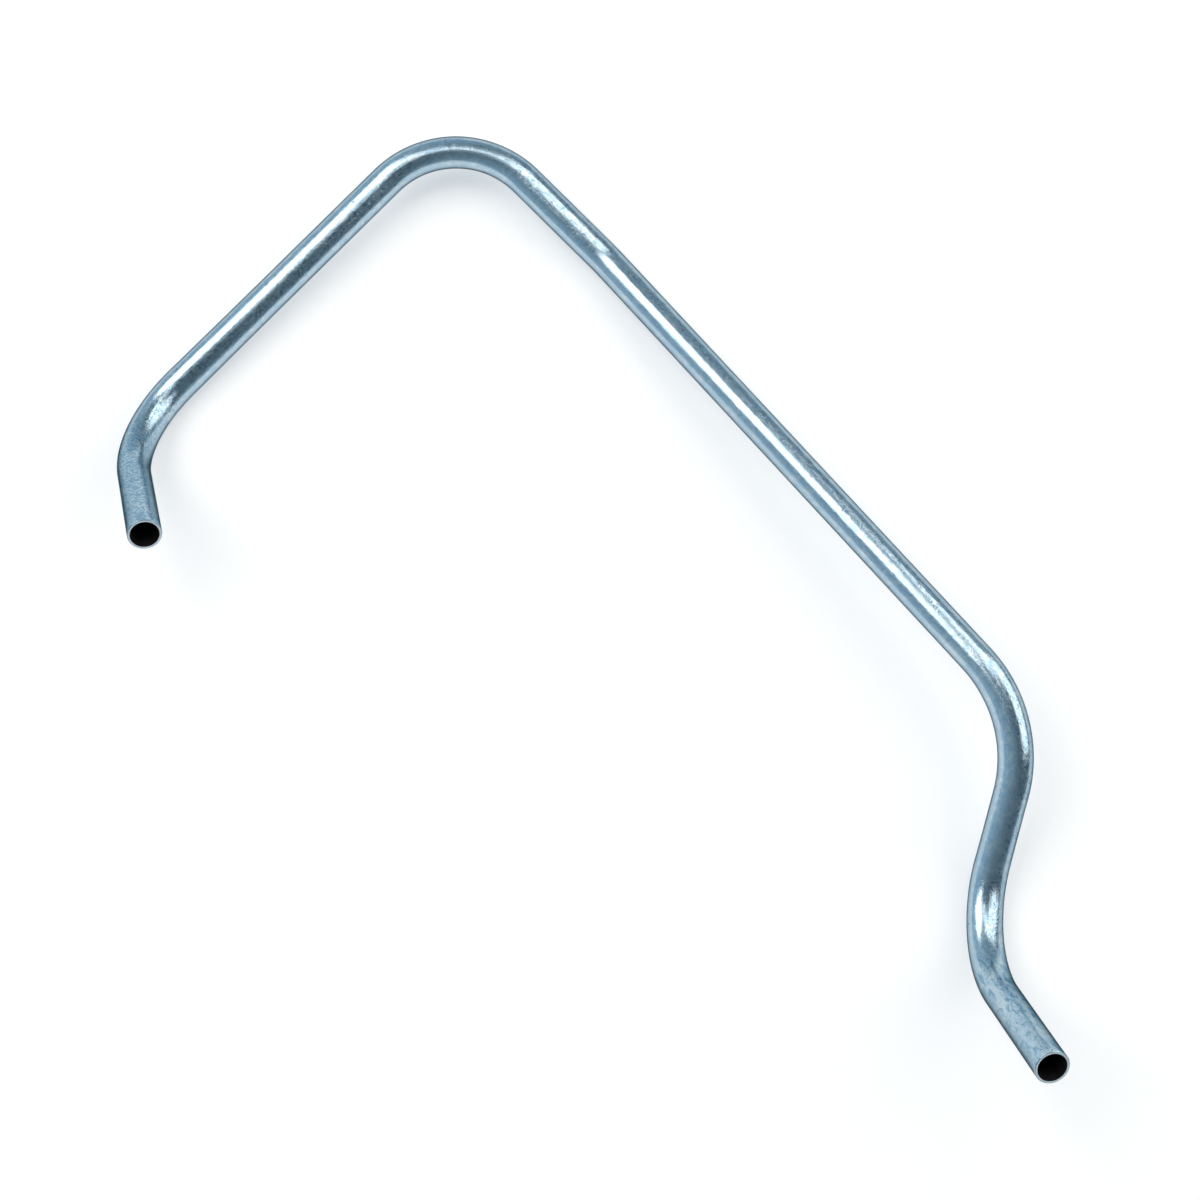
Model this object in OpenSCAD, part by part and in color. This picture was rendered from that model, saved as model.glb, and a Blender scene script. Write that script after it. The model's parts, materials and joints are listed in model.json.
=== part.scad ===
// Zinc-plated steel tube with plain cut ends and five bends, lying as it comes to rest on a table.
// It is set out as a bending table: each straight in order from the inlet, how far the bend plane
// turns along it, and the bend at its far end.

/* [Tube] */
// Outside diameter
od = 16; // [10:0.5:24]
// Wall thickness
wall = 1.5; // [0.8:0.1:3]

/* [Cut ends] */
// Chamfer round the outer edge of each cut end
outer_chamfer = 0.4; // [0.1:0.05:0.7]
// Chamfer round the inner edge of each cut end
inner_chamfer = 0.3; // [0.1:0.05:0.7]

/* [Bend tooling] */
// Centre-line radius of the inlet, apex, offset and outlet bends
bend_r = 48; // [36:1:60]
// Centre-line radius of the wider shoulder bend
shoulder_r = 64; // [48:1:90]
// Amount by which the tube's diameters draw down in a bend
draw_down = 0.06; // [0.04:0.01:0.2]
// Length over which a bend's section runs on into the straights beside it
run_out = 0.8; // [0.5:0.1:1]

/* [Inlet end] */
// Straight from the inlet's cut end to the inlet bend
inlet_len = 51; // [25:1:90]
// Angle of the inlet bend
inlet_bend = 73; // [50:1:90]

/* [Short leg] */
// Straight between the inlet bend and the apex bend
short_leg = 141; // [110:1:180]
// Turn of the bend plane along the short leg
short_leg_turn = 52; // [40:1:65]
// Angle of the apex bend
apex_bend = 90; // [75:1:105]

/* [Long leg] */
// Straight between the apex bend and the slight offset bend
apex_leg = 49; // [30:1:80]
// Turn of the bend plane between the apex bend and the offset bend
apex_leg_turn = -71; // [-85:1:-55]
// Angle of the offset bend
offset_bend = 15; // [8:1:25]
// Straight between the offset bend and the shoulder bend
long_leg = 260; // [200:1:320]
// Turn of the bend plane along the long leg
long_leg_turn = 98; // [80:1:115]
// Angle of the shoulder bend
shoulder_bend = 60; // [45:1:75]

/* [Outlet end] */
// Straight between the shoulder bend and the outlet bend
neck_len = 34; // [20:1:60]
// Turn of the bend plane along the neck
neck_turn = -132; // [-150:1:-115]
// Angle of the outlet bend
outlet_bend = 83; // [65:1:100]
// Straight from the outlet bend to the outlet's cut end
outlet_len = 60; // [30:1:100]

/* [Hidden] */
$fn = 64;

bore = od - 2 * wall;

// Bending table: straight before the bend, turn of the bend plane, bend angle, centre-line radius
bends = [
    [inlet_len, 0, inlet_bend, bend_r],
    [short_leg, short_leg_turn, apex_bend, bend_r],
    [apex_leg, apex_leg_turn, offset_bend, bend_r],
    [long_leg, long_leg_turn, shoulder_bend, shoulder_r],
    [neck_len, neck_turn, outlet_bend, bend_r],
];
last_bend = len(bends) - 1;
function straight_before(k) = bends[k][0];
function plane_turn(k) = bends[k][1];
function bend_angle(k) = bends[k][2];
function radius(k) = bends[k][3];

// Frames as 4 x 4 matrices
function moved(v) = [[1, 0, 0, v.x], [0, 1, 0, v.y], [0, 0, 1, v.z], [0, 0, 0, 1]];
function about_y(a) = [[cos(a), 0, sin(a), 0], [0, 1, 0, 0], [-sin(a), 0, cos(a), 0], [0, 0, 0, 1]];
function about_z(a) = [[cos(a), -sin(a), 0, 0], [sin(a), cos(a), 0, 0], [0, 0, 1, 0], [0, 0, 0, 1]];
function axis_of(m, i) = [m[0][i], m[1][i], m[2][i]];
function unit(v) = v / norm(v);

// Steps along the centre line, from the start of straight k to its bend, and then by angle a round that bend.
// Z runs along the tube, and X points at the centre of the next bend.
function to_bend(k) = moved([0, 0, straight_before(k)]) * about_z(plane_turn(k));
function round_bend(k, a) = moved([radius(k), 0, 0]) * about_y(a) * moved([-radius(k), 0, 0]);

// Frames on the centre line, reached from the inlet
function straight_frame(k) = k == 0 ? moved([0, 0, 0]) : on_bend(k - 1, bend_angle(k - 1));
function bend_frame(k) = straight_frame(k) * to_bend(k);
function on_bend(k, a) = bend_frame(k) * round_bend(k, a);

// Frames at the two cut faces, with Z into the tube
inlet_face = straight_frame(0);
to_outlet_face = moved([0, 0, outlet_len]) * about_y(180);
outlet_face = straight_frame(last_bend + 1) * to_outlet_face;

// The tube lies on the undersides of its inlet, outlet and offset bends. Each bend's foot is the point
// of its centre line that is lowest for a given upward direction, and the three feet set the next one.
function foot_angle(k, up) =
    let (
        start = bend_frame(k),
        a = atan2(-up * axis_of(start, 2), up * axis_of(start, 0)),
        ends = [0, bend_angle(k)],
        heights = [for (e = ends) up * axis_of(on_bend(k, e), 3)]
    )
    a >= 0 && a <= bend_angle(k) ? a : heights[0] < heights[1] ? ends[0] : ends[1];
function foot(k, up) = axis_of(on_bend(k, foot_angle(k, up)), 3);
function off_floor(a, b, c) = unit(cross(b - a, c - a));
function settled(up, passes) =
    passes == 0 ? up : settled(off_floor(foot(0, up), foot(4, up), foot(2, up)), passes - 1);
first_up = off_floor(axis_of(bend_frame(0), 3), axis_of(bend_frame(4), 3), axis_of(bend_frame(2), 3));
up = settled(first_up, 8);

// Laid down, with the long leg heading along X
long_way = axis_of(straight_frame(3), 2);
ahead = unit(long_way - (long_way * up) * up);
aside = cross(up, ahead);
laid = [concat(ahead, 0), concat(aside, 0), concat(up, 0), [0, 0, 0, 1]];

// Rims round the tube that can touch its box, each a frame and a radius
box_steps = 48;
rims = [
    for (face = [inlet_face, outlet_face]) each [
        [laid * face, od / 2 - outer_chamfer],
        [laid * face * moved([0, 0, outer_chamfer]), od / 2]
    ],
    for (k = [0 : last_bend]) each [
        [laid * bend_frame(k), od / 2],
        [laid * straight_frame(k + 1), od / 2],
        for (i = [0 : box_steps]) [laid * on_bend(k, bend_angle(k) * i / box_steps), (od - draw_down) / 2]
    ]
];
function reach(axis, side) =
    max([for (r = rims) side * r[0][axis][3] + r[1] * sqrt(max(0, 1 - pow(r[0][axis][2], 2)))]);
function middle(axis) = (reach(axis, 1) - reach(axis, -1)) / 2;

// Home: the middle of the box's underside is the origin
home = moved([-middle(0), -middle(1), reach(2, -1)]) * laid;

// A straight with a cut end at z = 0, its edge there flared out, or chamfered where flare is negative
module cut_straight(length, d, flare) {
    rotate_extrude()
        polygon([[0, 0], [d / 2 + flare, 0], [d / 2, abs(flare)], [d / 2, length], [0, length]]);
}

// A bend from z = 0 towards X, running on a little past both ends
module bend(k, d) {
    run_on = run_out / radius(k) * 180 / PI;
    translate([radius(k), 0, 0])
        rotate([90, 0, 180])
            rotate([0, 0, -run_on])
                rotate_extrude(angle = bend_angle(k) + 2 * run_on)
                    translate([radius(k), 0])
                        circle(d = d);
}

// The run from straight k to the outlet as a round bar of diameter d
module run(d, flare, k = 0) {
    if (k > last_bend) {
        multmatrix(to_outlet_face)
            cut_straight(outlet_len, d, flare);
    } else {
        if (k == 0)
            cut_straight(inlet_len, d, flare);
        else
            cylinder(h = straight_before(k), d = d);
        multmatrix(to_bend(k)) {
            bend(k, d - draw_down);
            multmatrix(round_bend(k, bend_angle(k)))
                run(d, flare, k + 1);
        }
    }
}

module bent_tube() {
    color("lightsteelblue")
        multmatrix(home)
            difference() {
                run(od, -outer_chamfer);
                run(bore, inner_chamfer);
            }
}

bent_tube();
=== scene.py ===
"""Looks of a bent zinc-plated steel tube with five bends and two open ends.

The tube is swept along its bending table as one closed mesh with a fine round section, a slight
flattening in the bends, rounded cut ends and an open bore. It lies where the frame's two end
mounts put it, in metres. The plating, the cut rims and the bore each have a material of their own.
"""

import json
import logging
import math
from dataclasses import dataclass, field
from enum import Enum, IntEnum
from typing import Any, Optional, Union

import bpy
from mathutils import Matrix, Vector

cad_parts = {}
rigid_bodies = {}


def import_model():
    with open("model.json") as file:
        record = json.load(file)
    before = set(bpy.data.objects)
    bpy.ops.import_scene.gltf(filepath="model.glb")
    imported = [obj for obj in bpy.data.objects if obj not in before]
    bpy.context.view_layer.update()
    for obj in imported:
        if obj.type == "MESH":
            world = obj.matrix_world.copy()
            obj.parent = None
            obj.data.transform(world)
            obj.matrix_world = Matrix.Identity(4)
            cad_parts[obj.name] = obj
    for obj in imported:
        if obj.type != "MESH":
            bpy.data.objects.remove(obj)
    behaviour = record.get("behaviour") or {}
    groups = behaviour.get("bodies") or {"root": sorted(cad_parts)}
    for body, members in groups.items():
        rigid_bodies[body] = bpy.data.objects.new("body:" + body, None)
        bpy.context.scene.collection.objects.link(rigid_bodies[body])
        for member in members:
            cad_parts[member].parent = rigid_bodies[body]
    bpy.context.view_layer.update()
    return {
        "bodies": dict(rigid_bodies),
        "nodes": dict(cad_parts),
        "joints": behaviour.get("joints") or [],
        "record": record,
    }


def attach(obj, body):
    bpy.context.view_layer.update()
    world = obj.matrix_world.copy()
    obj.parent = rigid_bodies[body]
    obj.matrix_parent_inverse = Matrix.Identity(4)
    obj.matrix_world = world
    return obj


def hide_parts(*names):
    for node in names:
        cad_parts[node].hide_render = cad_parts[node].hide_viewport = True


LOG = logging.getLogger("bent_tube")

BODY = "root"
NODE = "bent_tube"
UNROLLED = "unrolled"

Colour = tuple[float, float, float]
Range = tuple[float, float]
Socket = bpy.types.NodeSocket
Input = Union[float, tuple, Socket]
Inputs = dict[Union[str, int], Input]


class Zone(IntEnum):
    """The surfaces of the tube, by material slot."""

    SKIN = 0
    RIM = 1
    BORE = 2


class End(Enum):
    """The two cut ends of the tube, by their mounts in the record."""

    INLET = "inlet_spigot"
    OUTLET = "outlet_spigot"


def smooth_step(low: float, high: float, value: float) -> float:
    """Eases from 0 to 1 as a value goes from one limit to the other.

    Args:
        low: Value at which the result leaves 0.
        high: Value at which the result reaches 1.
        value: The value itself.

    Returns:
        A share from 0 to 1 with a flat start and end.
    """
    share = min(max((value - low) / (high - low), 0.0), 1.0)
    return share * share * (3.0 - 2.0 * share)


@dataclass(frozen=True)
class Bend:
    """One row of the bending table: a straight, then a bend and what it does to the section."""

    straight: float
    plane_turn: float
    angle: float
    radius: float
    flattening: float = 0.0
    lead_in: float = 0.004
    lead_out: float = 0.004

    @property
    def arc(self) -> float:
        """Length of the centre line round the bend."""
        return self.radius * math.radians(self.angle)


@dataclass(frozen=True)
class Squeeze:
    """How much a bend flattens the section at one place, and which way the bend goes."""

    amount: float
    heading: float


@dataclass
class TubeRoute:
    """The tube's centre line, as its bending table gives it, from the inlet face along +Z."""

    bends: tuple[Bend, ...] = (
        Bend(0.051, 0.0, 73.0, 0.048, flattening=0.05, lead_in=0.050, lead_out=0.060),
        Bend(0.141, 52.0, 90.0, 0.048, flattening=0.032),
        Bend(0.049, -71.0, 15.0, 0.048),
        Bend(0.260, 98.0, 60.0, 0.064, flattening=-0.035, lead_out=0.034),
        Bend(0.034, -132.0, 83.0, 0.048, flattening=0.07, lead_in=0.034, lead_out=0.050),
    )
    outlet_straight: float = 0.060
    squeeze_share: float = 0.33

    @property
    def length(self) -> float:
        """Developed length of the tube."""
        return sum(bend.straight + bend.arc for bend in self.bends) + self.outlet_straight

    def frame_at(self, distance: float) -> Matrix:
        """Walks along the table to a place on the centre line.

        Args:
            distance: Length of tube from the inlet face.

        Returns:
            The frame there, with Z along the tube and no twist about it.
        """
        frame = Matrix.Identity(4)
        heading = 0.0
        left = distance
        for bend in self.bends:
            step = min(left, bend.straight)
            frame = frame @ Matrix.Translation((0.0, 0.0, step))
            left -= step
            heading += math.radians(bend.plane_turn)
            turn = min(left, bend.arc) / bend.radius
            middle = (bend.radius * math.cos(heading), bend.radius * math.sin(heading), 0.0)
            centre = Matrix.Translation(middle)
            hinge = Vector((-math.sin(heading), math.cos(heading), 0.0))
            frame = frame @ centre @ Matrix.Rotation(turn, 4, hinge) @ centre.inverted()
            left -= turn * bend.radius
        return frame @ Matrix.Translation((0.0, 0.0, left))

    def squeezes_at(self, distance: float) -> list[Squeeze]:
        """Lists the bends that flatten the section at a place.

        Args:
            distance: Length of tube from the inlet face.

        Returns:
            One squeeze for each bend, which fades out away from it.
        """
        found = []
        start = 0.0
        heading = 0.0
        for bend in self.bends:
            start += bend.straight
            heading += math.radians(bend.plane_turn)
            end = start + bend.arc
            ease = bend.arc * self.squeeze_share
            rise = smooth_step(start - bend.lead_in, start + ease, distance)
            fall = smooth_step(end + bend.lead_out, end - ease, distance)
            found.append(Squeeze(bend.flattening * rise * fall, heading))
            start = end
        return found

    def stops(self, first: float, last: float, straight_step: float, turn_step: float) -> list[float]:
        """Spaces places along the tube, closer together in the bends.

        Args:
            first: The first place.
            last: The last place.
            straight_step: Longest step in a straight.
            turn_step: Largest step in a bend, in degrees.

        Returns:
            Distances from the inlet face, rising from first to last.
        """
        places = []
        start = 0.0
        for bend in self.bends:
            for span, count in (
                (bend.straight, math.ceil(bend.straight / straight_step)),
                (bend.arc, math.ceil(bend.angle / turn_step)),
            ):
                places += [start + span * i / count for i in range(count)]
                start += span
        count = math.ceil(self.outlet_straight / straight_step)
        places += [start + self.outlet_straight * i / count for i in range(count)]
        margin = 0.2 * straight_step
        return [first] + [p for p in places if first + margin < p < last - margin] + [last]


@dataclass(frozen=True)
class Ring:
    """One circle of the tube's skin, and the surface that runs from it to the next one."""

    distance: float
    radius: float
    zone: Zone


class Graph:
    """A node tree that is filled one node at a time."""

    def __init__(self, tree: bpy.types.NodeTree) -> None:
        """Takes an empty node tree to fill."""
        self.tree = tree

    def add(self, kind: str, sockets: Optional[Inputs] = None, **settings: Any) -> bpy.types.Node:
        """Adds a node, sets its values and links its inputs.

        Args:
            kind: Blender's name for the node type.
            sockets: Input names or numbers, each with a value or a socket to link from.
            **settings: The node's own properties.

        Returns:
            The new node.
        """
        node = self.tree.nodes.new(kind)
        for name, value in settings.items():
            setattr(node, name, value)
        for key, value in (sockets or {}).items():
            if isinstance(value, Socket):
                self.tree.links.new(value, node.inputs[key])
            else:
                node.inputs[key].default_value = value
        return node

    def math(self, operation: str, *values: Input) -> Socket:
        """Adds a Math node and returns its output."""
        return self.add("ShaderNodeMath", dict(enumerate(values)), operation=operation).outputs[0]

    def span(
        self, value: Input, low: float, high: float, to_low: float = 0.0, to_high: float = 1.0
    ) -> Socket:
        """Maps a value smoothly from one range to another.

        Args:
            value: The value to map.
            low: Start of its range.
            high: End of its range.
            to_low: Result at the start.
            to_high: Result at the end.

        Returns:
            The mapped value, held within the new range.
        """
        sockets = {"Value": value, "From Min": low, "From Max": high, "To Min": to_low, "To Max": to_high}
        return self.add("ShaderNodeMapRange", sockets, interpolation_type="SMOOTHSTEP").outputs["Result"]

    def blend(self, share: Input, first: Input, second: Input) -> Socket:
        """Mixes two colours.

        Args:
            share: Share of the second colour.
            first: Colour at 0.
            second: Colour at 1.

        Returns:
            The mixed colour.
        """
        node = self.add("ShaderNodeMix", data_type="RGBA")
        for name, value in (("Factor_Float", share), ("A_Color", first), ("B_Color", second)):
            socket = next(s for s in node.inputs if s.identifier == name)
            if isinstance(value, Socket):
                self.tree.links.new(value, socket)
            else:
                socket.default_value = value
        return next(s for s in node.outputs if s.identifier == "Result_Color")

    def stretched(self, vector: Socket, scale: tuple[float, float, float]) -> Socket:
        """Scales a place by its axes and returns it."""
        return self.add("ShaderNodeMapping", {"Vector": vector, "Scale": scale}).outputs["Vector"]

    def noise(self, vector: Socket, scale: Input, detail: float, distortion: float = 0.0) -> Socket:
        """Adds a Noise Texture.

        Args:
            vector: Place on the surface.
            scale: Cells to the metre.
            detail: Octaves.
            distortion: How much the cells swirl.

        Returns:
            The noise, from 0 to 1 about 0.5.
        """
        sockets = {"Vector": vector, "Scale": scale, "Detail": detail, "Distortion": distortion}
        return self.add("ShaderNodeTexNoise", sockets).outputs["Fac"]


class Effect:
    """A surface effect that several materials share, kept as one shader node group."""

    name = "effect"
    values: dict[str, float] = {}
    results: tuple[str, ...] = ()

    def group(self) -> bpy.types.NodeTree:
        """Builds the node group, or finds it if it is built already.

        Returns:
            The group, with a Vector input, the effect's values and its results.
        """
        found = bpy.data.node_groups.get(self.name)
        if found:
            return found
        tree = bpy.data.node_groups.new(self.name, "ShaderNodeTree")
        tree.interface.new_socket("Vector", in_out="INPUT", socket_type="NodeSocketVector")
        for name, value in self.values.items():
            socket = tree.interface.new_socket(name, in_out="INPUT", socket_type="NodeSocketFloat")
            socket.default_value = value
        for name in self.results:
            tree.interface.new_socket(name, in_out="OUTPUT", socket_type="NodeSocketFloat")
        graph = Graph(tree)
        ins = graph.add("NodeGroupInput").outputs
        results = self.fill(graph, ins)
        graph.add("NodeGroupOutput", dict(zip(self.results, results)))
        return tree

    def fill(self, graph: Graph, ins: bpy.types.NodeOutputs) -> tuple[Socket, ...]:
        """Makes the effect's nodes.

        Args:
            graph: The group's node tree.
            ins: Outputs of the group's input node.

        Returns:
            One socket for each result, in order.
        """
        raise NotImplementedError

    def place(self, graph: Graph, vector: Socket, **values: float) -> bpy.types.NodeOutputs:
        """Puts the effect into a material.

        Args:
            graph: The material's node tree.
            vector: Place on the surface.
            **values: This material's own values for the effect's inputs.

        Returns:
            The effect's results, by name.
        """
        node = graph.add("ShaderNodeGroup", node_tree=self.group())
        graph.tree.links.new(vector, node.inputs["Vector"])
        for name, value in values.items():
            node.inputs[name].default_value = value
        return node.outputs


class PlatedGrain(Effect):
    """The fine wrinkled skin of plating over drawn tube, with dark flecks in it and lines along it."""

    name = "plated grain"
    values = {"Grain": 900.0, "Patches": 130.0, "Lines": 1400.0}
    results = ("Grain", "Flecks", "Lines")
    contrast: Range = (0.3, 0.7)
    fleck_range: Range = (0.48, 0.40)
    patch_range: Range = (0.30, 0.50)
    grain_stretch: float = 0.75
    line_stretch: float = 0.03

    def fill(self, graph: Graph, ins: bpy.types.NodeOutputs) -> tuple[Socket, ...]:
        """Makes the grain from warped noise, patches of flecks where it is deep, and lines from long noise.

        Args:
            graph: The group's node tree.
            ins: Outputs of the group's input node.

        Returns:
            The grain, the flecks and the lines, each from 0 to 1.
        """
        along = graph.stretched(ins["Vector"], (1.0, 1.0, self.grain_stretch))
        grain = graph.noise(along, ins["Grain"], detail=3.0, distortion=1.6)
        patches = graph.noise(ins["Vector"], ins["Patches"], detail=2.0)
        deep = graph.span(grain, *self.fleck_range)
        flecks = graph.math("MULTIPLY", deep, graph.span(patches, *self.patch_range))
        lengthwise = graph.stretched(ins["Vector"], (1.0, 1.0, self.line_stretch))
        lines = graph.noise(lengthwise, ins["Lines"], detail=2.0)
        return graph.span(grain, *self.contrast), flecks, graph.span(lines, *self.contrast)


class PassivationFilm(Effect):
    """The cloudy blue film left on zinc by its passivating bath, with runs where it drained."""

    name = "passivation film"
    values = {"Clouds": 170.0, "Runs": 260.0}
    results = ("Blue", "Pale", "Runs")
    blue_range: Range = (0.46, 0.64)
    pale_range: Range = (0.50, 0.34)
    run_range: Range = (0.52, 0.72)
    run_stretch: float = 0.16

    def fill(self, graph: Graph, ins: bpy.types.NodeOutputs) -> tuple[Socket, ...]:
        """Makes soft clouds and streaks that run along the tube.

        Args:
            graph: The group's node tree.
            ins: Outputs of the group's input node.

        Returns:
            The blue clouds, the pale clouds and the runs, each from 0 to 1.
        """
        clouds = graph.noise(ins["Vector"], ins["Clouds"], detail=5.0, distortion=1.2)
        blue = graph.span(clouds, *self.blue_range)
        pale = graph.span(clouds, *self.pale_range)
        lengthwise = graph.stretched(ins["Vector"], (1.0, 1.0, self.run_stretch))
        runs = graph.noise(lengthwise, ins["Runs"], detail=4.0, distortion=0.6)
        return blue, pale, graph.span(runs, *self.run_range)


class Pits(Effect):
    """Scattered small dark pits and nicks in the plating."""

    name = "pits"
    values = {"Density": 480.0, "Size": 0.2, "Share": 0.10}
    results = ("Mask",)
    stretch: float = 0.55
    soft_edge: float = 0.1

    def fill(self, graph: Graph, ins: bpy.types.NodeOutputs) -> tuple[Socket, ...]:
        """Keeps a share of the cells of a Voronoi texture and darkens the middle of each.

        Args:
            graph: The group's node tree.
            ins: Outputs of the group's input node.

        Returns:
            The pits' mask, 1 in a pit.
        """
        along = graph.stretched(ins["Vector"], (1.0, 1.0, self.stretch))
        cells = graph.add("ShaderNodeTexVoronoi", {"Vector": along, "Scale": ins["Density"]})
        draw = graph.add("ShaderNodeSeparateColor", {"Color": cells.outputs["Color"]}).outputs["Red"]
        kept = graph.math("LESS_THAN", draw, ins["Share"])
        inside = graph.math("SUBTRACT", ins["Size"], cells.outputs["Distance"])
        soft = graph.span(inside, 0.0, self.soft_edge)
        return (graph.math("MULTIPLY", soft, kept),)


def opaque(colour: Colour) -> tuple[float, float, float, float]:
    """Gives a colour a full alpha."""
    return (*colour, 1.0)


@dataclass(frozen=True)
class Stain:
    """A mark on a finish: its colour, and how much of the finish it hides."""

    colour: Colour
    strength: float = 1.0

    def over(self, graph: Graph, mask: Socket, tone: Input) -> Socket:
        """Lays the mark over a tone, where its mask says."""
        share = graph.math("MULTIPLY", mask, self.strength)
        return graph.blend(share, tone, opaque(self.colour))


@dataclass(frozen=True)
class Relief:
    """How strongly and how deeply the fine relief of a finish shows."""

    strength: float
    depth: float


class Surface:
    """A material in the making: its nodes, its Principled shader and the place on the tube."""

    def __init__(self, name: str) -> None:
        """Starts a material that has only its shader.

        Args:
            name: Name of the finish.
        """
        self.material = bpy.data.materials.new(name)
        self.material.use_nodes = True
        self.material.node_tree.nodes.clear()
        self.graph = Graph(self.material.node_tree)
        self.shader = self.graph.add("ShaderNodeBsdfPrincipled")
        self.graph.add("ShaderNodeOutputMaterial", {"Surface": self.shader.outputs["BSDF"]})
        self.at = self.graph.add("ShaderNodeAttribute", attribute_name=UNROLLED).outputs["Vector"]

    def wear(self, tone: Socket, rough: Socket, height: Socket, relief: Relief) -> bpy.types.Material:
        """Links what varies over the surface to the shader.

        Args:
            tone: The colour.
            rough: The roughness.
            height: The fine relief.
            relief: How strongly and how deeply it shows.

        Returns:
            The finished material.
        """
        sockets = {"Height": height, "Strength": relief.strength, "Distance": relief.depth}
        normal = self.graph.add("ShaderNodeBump", sockets).outputs["Normal"]
        for name, socket in (("Base Color", tone), ("Roughness", rough), ("Normal", normal)):
            self.graph.tree.links.new(socket, self.shader.inputs[name])
        return self.material


@dataclass(frozen=True)
class ZincPlate:
    """Bright zinc plating with a blue passivation film, over drawn steel tube."""

    name: str = "zinc plate"
    zinc: Colour = (0.43, 0.565, 0.66)
    edge_tint: Colour = (0.06, 0.065, 0.07)
    pale: Stain = Stain((0.58, 0.68, 0.74), 0.50)
    blue: Stain = Stain((0.31, 0.49, 0.64), 0.30)
    run: Stain = Stain((0.31, 0.49, 0.64), 0.22)
    bloom: Stain = Stain((0.54, 0.66, 0.61), 0.60)
    ripple: Stain = Stain((0.14, 0.31, 0.44), 0.62)
    smear: Stain = Stain((0.14, 0.31, 0.44), 0.80)
    fleck_and_shade: Stain = Stain((0.16, 0.27, 0.34), 0.82)
    pit: Stain = Stain((0.05, 0.08, 0.11), 0.85)
    roughness: Range = (0.15, 0.25)
    relief: Relief = Relief(0.6, 0.00006)
    grain_height: float = 0.7
    line_height: float = 0.3
    ripple_height: float = -0.4
    # Painted shade: flecks crowd on normals facing this way, the side that mirrors the darker room, and
    # thin out towards the highlights.
    shade_side_facing: tuple[float, float, float] = (0.44, 0.40, 0.80)
    fleck_range: Range = (0.77, 0.89)
    shade_side_least: float = 0.25
    upper_range: Range = (0.45, 0.85)
    upper_least: float = 0.10
    end_lift: float = 0.32
    inlet_zone: Range = (0.105, 0.060)
    outlet_zone: Range = (0.785, 0.815)
    bloom_zone: tuple[float, float, float] = (0.790, 0.805, 0.822)
    ripple_scale: float = 105.0
    ripple_range: Range = (0.40, 0.80)
    smear_scale: float = 320.0
    smear_stretch: float = 0.45
    smear_range: Range = (0.48, 0.64)

    def material(self) -> bpy.types.Material:
        """Makes the plating's material.

        Returns:
            The material.
        """
        surface = Surface(self.name)
        graph, at = surface.graph, surface.at
        distance = graph.add("ShaderNodeSeparateXYZ", {"Vector": at}).outputs["Z"]
        film = PassivationFilm().place(graph, at)
        grain = PlatedGrain().place(graph, at)
        pits = Pits().place(graph, at)
        top = self.upper_side(graph, distance)
        ripples = graph.math("MULTIPLY", self.ripples(graph, at, distance), top)
        smears = graph.math("MULTIPLY", self.smears(graph, at, distance), top)
        # Real dark flecks, crowded as painted shade onto the side that mirrors the darker room.
        flecks = graph.math("MULTIPLY", grain["Flecks"], self.shade_side_flecks(graph))

        tone = opaque(self.zinc)
        for stain, mask in (
            (self.pale, film["Pale"]),
            (self.blue, film["Blue"]),
            (self.run, film["Runs"]),
            (self.bloom, self.blooms(graph, film["Pale"], distance)),
            (self.ripple, ripples),
            (self.smear, smears),
            (self.fleck_and_shade, flecks),
            (self.pit, pits["Mask"]),
        ):
            tone = stain.over(graph, mask, tone)

        height = graph.math("MULTIPLY", grain["Grain"], self.grain_height)
        height = graph.math("MULTIPLY_ADD", grain["Lines"], self.line_height, height)
        height = graph.math("MULTIPLY_ADD", ripples, self.ripple_height, height)
        height = graph.math("SUBTRACT", height, pits["Mask"])
        rough = graph.span(film["Runs"], 0.0, 1.0, *self.roughness)
        surface.shader.inputs["Metallic"].default_value = 1.0
        surface.shader.inputs["Specular Tint"].default_value = opaque(self.edge_tint)
        return surface.wear(tone, rough, height, self.relief)

    def upper_side(self, graph: Graph, distance: Socket) -> Socket:
        """Finds the side that lies uppermost, where the bath dries last and leaves most marks.

        The two end straights stand up steeply, so a lower slope counts as uppermost there.

        Args:
            graph: The material's node tree.
            distance: Length of tube from the inlet face.

        Returns:
            A mask, 1 on top and fading out towards the flanks.
        """
        normal = graph.add("ShaderNodeNewGeometry").outputs["Normal"]
        up = graph.add("ShaderNodeSeparateXYZ", {"Vector": normal}).outputs["Z"]
        inlet = graph.span(distance, *self.inlet_zone)
        outlet = graph.span(distance, *self.outlet_zone)
        raised = graph.math("MULTIPLY_ADD", graph.math("ADD", inlet, outlet), self.end_lift, up)
        return graph.span(raised, *self.upper_range, self.upper_least, 1.0)

    def shade_side_flecks(self, graph: Graph) -> Socket:
        """Finds the side away from the highlights, which mirrors the darker room, where the real flecks are
        laid thickest as painted shade.

        Args:
            graph: The material's node tree.

        Returns:
            A mask, 1 on that side and fading out round the tube.
        """
        normal = graph.add("ShaderNodeNewGeometry").outputs["Normal"]
        sockets = {0: normal, 1: self.shade_side_facing}
        facing = graph.add("ShaderNodeVectorMath", sockets, operation="DOT_PRODUCT").outputs["Value"]
        return graph.span(facing, *self.fleck_range, self.shade_side_least, 1.0)

    def ripples(self, graph: Graph, at: Socket, distance: Socket) -> Socket:
        """Draws the fine wavy ripples across the inlet's straight.

        Args:
            graph: The material's node tree.
            at: Place on the surface.
            distance: Length of tube from the inlet face.

        Returns:
            The ripples' mask.
        """
        sockets = {
            "Vector": at,
            "Scale": self.ripple_scale,
            "Distortion": 16.0,
            "Detail": 3.0,
            "Detail Scale": 2.4,
        }
        wave = graph.add("ShaderNodeTexWave", sockets, bands_direction="Z").outputs["Fac"]
        here = graph.span(distance, *self.inlet_zone)
        return graph.math("MULTIPLY", graph.span(wave, *self.ripple_range), here)

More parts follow.
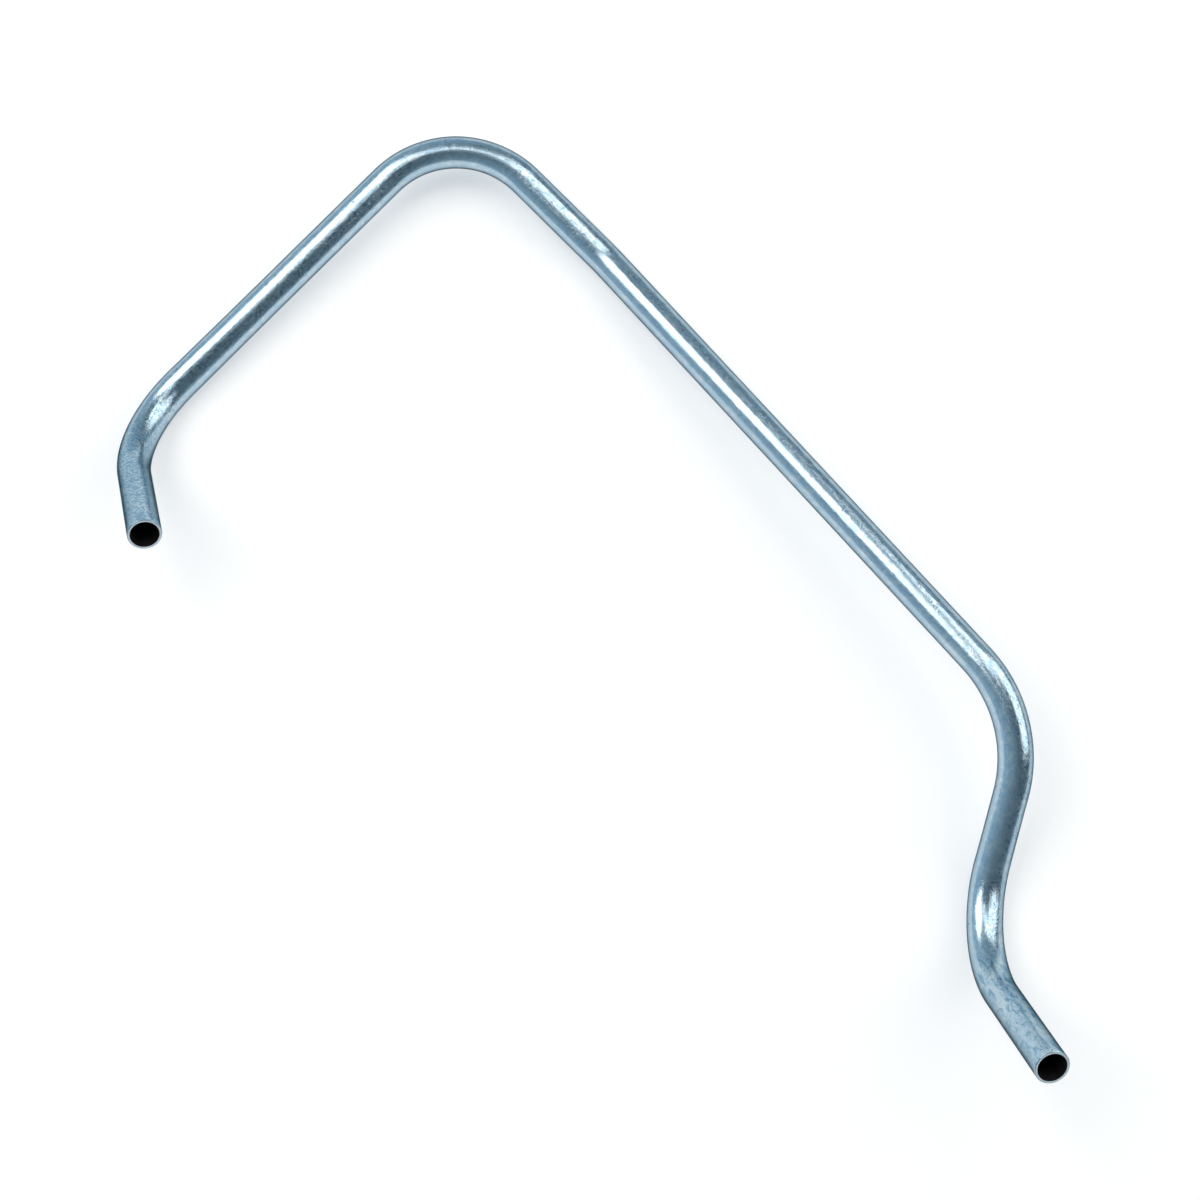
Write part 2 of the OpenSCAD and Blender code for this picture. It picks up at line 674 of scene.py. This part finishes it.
    def smears(self, graph: Graph, at: Socket, distance: Socket) -> Socket:
        """Draws the dark blue smears along the outlet's straight.

        Args:
            graph: The material's node tree.
            at: Place on the surface.
            distance: Length of tube from the inlet face.

        Returns:
            The smears' mask.
        """
        lengthwise = graph.stretched(at, (1.0, 1.0, self.smear_stretch))
        noise = graph.noise(lengthwise, self.smear_scale, detail=6.0, distortion=1.4)
        here = graph.span(distance, *self.outlet_zone)
        return graph.math("MULTIPLY", graph.span(noise, *self.smear_range), here)

    def blooms(self, graph: Graph, clouds: Socket, distance: Socket) -> Socket:
        """Places the faint greenish bloom just past the outlet bend.

        Args:
            graph: The material's node tree.
            clouds: The film's pale clouds.
            distance: Length of tube from the inlet face.

        Returns:
            The bloom's mask.
        """
        start, middle, end = self.bloom_zone
        rise = graph.span(distance, start, middle)
        fall = graph.span(distance, end, middle)
        return graph.math("MULTIPLY", graph.math("MULTIPLY", rise, fall), clouds)


@dataclass(frozen=True)
class CutRim:
    """The deburred and plated face of a cut end."""

    name: str = "cut rim"
    zinc: Colour = (0.80, 0.86, 0.90)
    edge_tint: Colour = (0.4, 0.45, 0.5)
    blue: Stain = Stain((0.56, 0.68, 0.78), 0.6)
    pit: Stain = Stain((0.08, 0.10, 0.13))
    metallic: float = 0.4
    roughness: Range = (0.30, 0.40)
    relief: Relief = Relief(0.3, 0.00003)

    def material(self) -> bpy.types.Material:
        """Makes the rim's material.

        Returns:
            The material.
        """
        surface = Surface(self.name)
        graph, at = surface.graph, surface.at
        film = PassivationFilm().place(graph, at, Clouds=300.0, Runs=500.0)
        grain = PlatedGrain().place(graph, at, Grain=1600.0, Lines=2400.0)
        pits = Pits().place(graph, at, Density=700.0, Size=0.2, Share=0.06)
        tone = self.blue.over(graph, film["Blue"], opaque(self.zinc))
        tone = self.pit.over(graph, pits["Mask"], tone)
        rough = graph.span(grain["Grain"], 0.0, 1.0, *self.roughness)
        surface.shader.inputs["Metallic"].default_value = self.metallic
        surface.shader.inputs["Specular Tint"].default_value = opaque(self.edge_tint)
        return surface.wear(tone, rough, grain["Lines"], self.relief)


@dataclass(frozen=True)
class PaintedShadeBore:
    """The inside of the tube, painted near-black as the shade inside the bore: dull and lightly oiled."""

    name: str = "bore with painted shade"
    # Near-black: painted shade of the inside of the bore.
    steel: Colour = (0.008, 0.008, 0.009)
    oil: Stain = Stain((0.003, 0.003, 0.003))
    specular: float = 0.1
    roughness: Range = (0.65, 0.85)
    relief: Relief = Relief(0.4, 0.00005)

    def material(self) -> bpy.types.Material:
        """Makes the bore's material.

        Returns:
            The material.
        """
        surface = Surface(self.name)
        graph, at = surface.graph, surface.at
        film = PassivationFilm().place(graph, at, Clouds=120.0, Runs=240.0)
        grain = PlatedGrain().place(graph, at, Grain=700.0, Lines=900.0)
        tone = self.oil.over(graph, film["Runs"], opaque(self.steel))
        rough = graph.span(film["Blue"], 0.0, 1.0, *self.roughness)
        surface.shader.inputs["Specular IOR Level"].default_value = self.specular
        return surface.wear(tone, rough, grain["Lines"], self.relief)


@dataclass
class BentTube:
    """The tube itself: a round section swept along the route, with an open bore and rounded ends."""

    route: TubeRoute = field(default_factory=TubeRoute)
    outer_radius: float = 0.008
    wall: float = 0.0015
    outer_round: float = 0.0004
    inner_round: float = 0.0003
    mount_depth: float = 0.001
    sides: int = 96
    round_steps: int = 4
    skin_step: float = 0.005
    skin_turn: float = 1.5
    bore_step: float = 0.020
    bore_turn: float = 4.5

    @property
    def bore_radius(self) -> float:
        """Radius of the open bore."""
        return self.outer_radius - self.wall

    def home(self, mounts: list[dict]) -> Matrix:
        """Finds where the tube lies, from the two ends that the record states.

        Args:
            mounts: The record's mounts.

        Returns:
            The matrix that takes the route's own frame to the shared frame.
        """
        stated = {mount["name"]: mount for mount in mounts}
        inlet, outlet = stated[End.INLET.value], stated[End.OUTLET.value]
        start = Vector((0.0, 0.0, self.mount_depth))
        end = self.route.frame_at(self.route.length - self.mount_depth).translation
        own = self.triad(Vector((0.0, 0.0, -1.0)), end - start)
        shared = self.triad(Vector(inlet["axis"]), Vector(outlet["pos_m"]) - Vector(inlet["pos_m"]))
        turn = shared @ own.transposed()
        return Matrix.Translation(Vector(inlet["pos_m"]) - turn @ start) @ turn.to_4x4()

    @staticmethod
    def triad(first: Vector, second: Vector) -> Matrix:
        """Builds three square axes on two directions.

        Args:
            first: Direction of the first axis.
            second: A direction in the plane of the first two axes.

        Returns:
            A 3x3 matrix with the axes as columns.
        """
        a = first.normalized()
        c = a.cross(second).normalized()
        return Matrix((a, c.cross(a), c)).transposed()

    def rings(self) -> list[Ring]:
        """Lists the rings in order round the wall: the skin, one end, the bore and the other end.

        Returns:
            The rings of a closed surface, whose last ring joins its first.
        """
        length = self.route.length
        skin = self.route.stops(self.outer_round, length - self.outer_round, self.skin_step, self.skin_turn)
        bore = self.route.stops(self.inner_round, length - self.inner_round, self.bore_step, self.bore_turn)
        rings = [Ring(place, self.outer_radius, Zone.SKIN) for place in skin[:-1]]
        profile = self.end_profile()
        face, edge = profile[:self.round_steps + 1], profile[self.round_steps + 1:]
        rings += [Ring(length - depth, radius, Zone.SKIN) for depth, radius in face[:-1]]
        rings.append(Ring(length - face[-1][0], face[-1][1], Zone.RIM))
        rings += [Ring(length - depth, radius, Zone.BORE) for depth, radius in edge[:-1]]
        rings += [Ring(place, self.bore_radius, Zone.BORE) for place in reversed(bore)]
        rings += [Ring(depth, radius, Zone.BORE) for depth, radius in reversed(edge[1:-1])]
        rings.append(Ring(*edge[0], Zone.RIM))
        rings += [Ring(depth, radius, Zone.SKIN) for depth, radius in reversed(face[1:])]
        return rings

    def end_profile(self) -> list[tuple[float, float]]:
        """Draws half the wall's section at a cut end, from the skin over the face to the bore.

        Returns:
            Depths below the cut face and radii, in order.
        """
        points = []
        for i in range(self.round_steps + 1):
            turn = 0.5 * math.pi * i / self.round_steps
            depth = self.outer_round * (1.0 - math.sin(turn))
            points.append((depth, self.outer_radius - self.outer_round * (1.0 - math.cos(turn))))
        for i in range(self.round_steps + 1):
            turn = 0.5 * math.pi * i / self.round_steps
            depth = self.inner_round * (1.0 - math.cos(turn))
            points.append((depth, self.bore_radius + self.inner_round * (1.0 - math.sin(turn))))
        return points

    def build(self, home: Matrix) -> bpy.types.Object:
        """Sweeps the mesh.

        Args:
            home: Where the tube lies.

        Returns:
            The tube's object, in the shared frame.
        """
        rings = self.rings()
        points, laid = [], []
        for ring in rings:
            at = home @ self.route.frame_at(ring.distance)
            squeezes = self.route.squeezes_at(ring.distance)
            for side in range(self.sides):
                angle = 2.0 * math.pi * side / self.sides
                squeeze = sum(s.amount * math.cos(2.0 * (angle - s.heading)) for s in squeezes)
                radius = ring.radius * (1.0 - squeeze)
                points.append(at @ Vector((radius * math.cos(angle), radius * math.sin(angle), 0.0)))
                laid += (ring.radius * math.cos(angle), ring.radius * math.sin(angle), ring.distance)
        faces, zones = [], []
        for i, ring in enumerate(rings):
            here, after = i * self.sides, (i + 1) % len(rings) * self.sides
            for side in range(self.sides):
                beside = (side + 1) % self.sides
                faces.append((here + side, here + beside, after + beside, after + side))
                zones.append(int(ring.zone))
        mesh = bpy.data.meshes.new(NODE)
        mesh.from_pydata(points, [], faces)
        mesh.polygons.foreach_set("material_index", zones)
        mesh.attributes.new(UNROLLED, "FLOAT_VECTOR", "POINT").data.foreach_set("vector", laid)
        mesh.shade_smooth()
        mesh.update()
        obj = bpy.data.objects.new("plated_tube", mesh)
        bpy.context.scene.collection.objects.link(obj)
        return obj

    @staticmethod
    def dress(obj: bpy.types.Object) -> None:
        """Gives each zone of the tube its finish.

        Args:
            obj: The tube's object.
        """
        finishes = {Zone.SKIN: ZincPlate(), Zone.RIM: CutRim(), Zone.BORE: PaintedShadeBore()}
        for zone in Zone:
            obj.data.materials.append(finishes[zone].material())


@dataclass(frozen=True)
class SoftBox:
    """A rectangular studio light that faces the middle of the object."""

    name: str
    azimuth: float
    elevation: float
    distance: float
    width: float
    height: float
    roll: float
    radiance: float
    colour: Colour = (1.0, 0.93, 0.87)

    def hang(self, target: Vector) -> bpy.types.Object:
        """Makes the lamp.

        Args:
            target: The point that it faces.

        Returns:
            The lamp's object.
        """
        lamp = bpy.data.lights.new(self.name, "AREA")
        lamp.shape = "RECTANGLE"
        lamp.size, lamp.size_y = self.width, self.height
        lamp.energy = self.radiance * math.pi * self.width * self.height
        lamp.color = self.colour
        obj = bpy.data.objects.new(self.name, lamp)
        bpy.context.scene.collection.objects.link(obj)
        azimuth, elevation = math.radians(self.azimuth), math.radians(self.elevation)
        flat = Vector((math.cos(azimuth), math.sin(azimuth), 0.0))
        away = flat * math.cos(elevation) + Vector((0.0, 0.0, math.sin(elevation)))
        across = Vector((0.0, 0.0, 1.0)).cross(away).normalized()
        facing = Matrix((across, away.cross(across), away)).transposed().to_4x4()
        roll = Matrix.Rotation(math.radians(self.roll), 4, "Z")
        obj.matrix_world = Matrix.Translation(target + away * self.distance) @ facing @ roll
        obj.visible_camera = False
        return obj


@dataclass
class Studio:
    """The pale floor, the soft light round it and the camera."""

    floor_colour: Colour = (0.74, 0.74, 0.74)
    floor_half: float = 6.0
    floor_lift: float = 0.38
    sky_base: float = 0.48
    sky_least: float = 0.02
    sky_slope: tuple[float, float, float] = (-0.18, -0.10, -0.24)
    sky_tint: Colour = (0.77, 1.0, 1.15)
    target: Vector = field(default_factory=lambda: Vector((0.0, 0.0, 0.02)))
    boxes: tuple[SoftBox, ...] = (
        SoftBox("left softbox", 200.8, 55.4, 2.405, 1.700, 1.750, -10.8, 2.85),
        SoftBox("right softbox", 64.0, 37.6, 2.397, 2.300, 1.950, 7.0, 1.85),
        SoftBox("upper softbox", 129.2, 68.0, 1.036, 0.900, 0.630, 48.0, 0.20),
        SoftBox("strip softbox", 106.0, 61.8, 3.288, 0.300, 3.040, -3.7, 4.20),
    )
    camera_place: Vector = field(default_factory=lambda: Vector((0.1548, -0.12545, 1.1262)))
    camera_right: Vector = field(default_factory=lambda: Vector((0.6414, 0.7671, -0.0095)))
    camera_down: Vector = field(default_factory=lambda: Vector((0.7495, -0.6293, -0.2056)))
    lens: float = 72.33
    sensor: float = 36.0

    def lay_floor(self) -> bpy.types.Object:
        """Makes the floor, white to the camera and in mirror images, with the object's shadow on it.

        Returns:
            The floor's object.
        """
        half = self.floor_half
        mesh = bpy.data.meshes.new("floor")
        corners = [(-half, -half, 0.0), (half, -half, 0.0), (half, half, 0.0), (-half, half, 0.0)]
        mesh.from_pydata(corners, [], [(0, 1, 2, 3)])
        floor = bpy.data.objects.new("floor", mesh)
        bpy.context.scene.collection.objects.link(floor)
        material = bpy.data.materials.new("pale floor")
        material.use_nodes = True
        material.node_tree.nodes.clear()
        graph = Graph(material.node_tree)
        matt = graph.add("ShaderNodeBsdfDiffuse", {"Color": opaque(self.floor_colour)})
        ray = graph.add("ShaderNodeLightPath").outputs
        seen = graph.math("MAXIMUM", ray["Is Camera Ray"], ray["Is Glossy Ray"])
        seen = graph.math("MAXIMUM", seen, ray["Is Transmission Ray"])
        lift = graph.add("ShaderNodeEmission", {"Strength": graph.math("MULTIPLY", seen, self.floor_lift)})
        both = graph.add("ShaderNodeAddShader", {0: matt.outputs["BSDF"], 1: lift.outputs["Emission"]})
        graph.add("ShaderNodeOutputMaterial", {"Surface": both.outputs["Shader"]})
        mesh.materials.append(material)
        return floor

    def light(self) -> None:
        """Sets the grey room and hangs the soft boxes."""
        world = bpy.data.worlds.new("studio")
        bpy.context.scene.world = world
        world.use_nodes = True
        world.node_tree.nodes.clear()
        graph = Graph(world.node_tree)
        direction = graph.add("ShaderNodeTexCoord").outputs["Generated"]
        sockets = {0: direction, 1: self.sky_slope}
        slope = graph.add("ShaderNodeVectorMath", sockets, operation="DOT_PRODUCT").outputs["Value"]
        level = graph.math("MAXIMUM", graph.math("ADD", slope, self.sky_base), self.sky_least)
        room = graph.add("ShaderNodeBackground", {"Color": opaque(self.sky_tint), "Strength": level})
        graph.add("ShaderNodeOutputWorld", {"Surface": room.outputs["Background"]})
        for box in self.boxes:
            box.hang(self.target)

    def set_camera(self) -> bpy.types.Object:
        """Puts the camera where the photograph was taken from.

        Returns:
            The camera's object.
        """
        data = bpy.data.cameras.new("camera")
        data.lens, data.sensor_width = self.lens, self.sensor
        data.clip_start, data.clip_end = 0.01, 50.0
        camera = bpy.data.objects.new("camera", data)
        bpy.context.scene.collection.objects.link(camera)
        right = self.camera_right.normalized()
        back = right.cross(-self.camera_down).normalized()
        axes = Matrix((right, back.cross(right), back)).transposed().to_4x4()
        camera.matrix_world = Matrix.Translation(self.camera_place) @ axes
        bpy.context.scene.camera = camera
        return camera


def main() -> None:
    """Builds the tube on the frame, dresses it and sets the studio."""
    logging.basicConfig(level=logging.INFO, format="%(name)s: %(message)s")
    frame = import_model()
    bpy.context.scene.view_settings.view_transform = "Standard"

    tube = BentTube()
    piece = tube.build(tube.home(frame["record"]["mounts"]))
    tube.dress(piece)
    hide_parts(NODE)
    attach(piece, BODY)
    length = 1000.0 * tube.route.length
    LOG.info("%s: %d faces, %.1f mm of tube", piece.name, len(piece.data.polygons), length)

    studio = Studio()
    floor = studio.lay_floor()
    studio.light()
    camera = studio.set_camera()
    LOG.info("%s, %d soft boxes and %s set", floor.name, len(studio.boxes), camera.name)


if __name__ == "__main__":
    main()
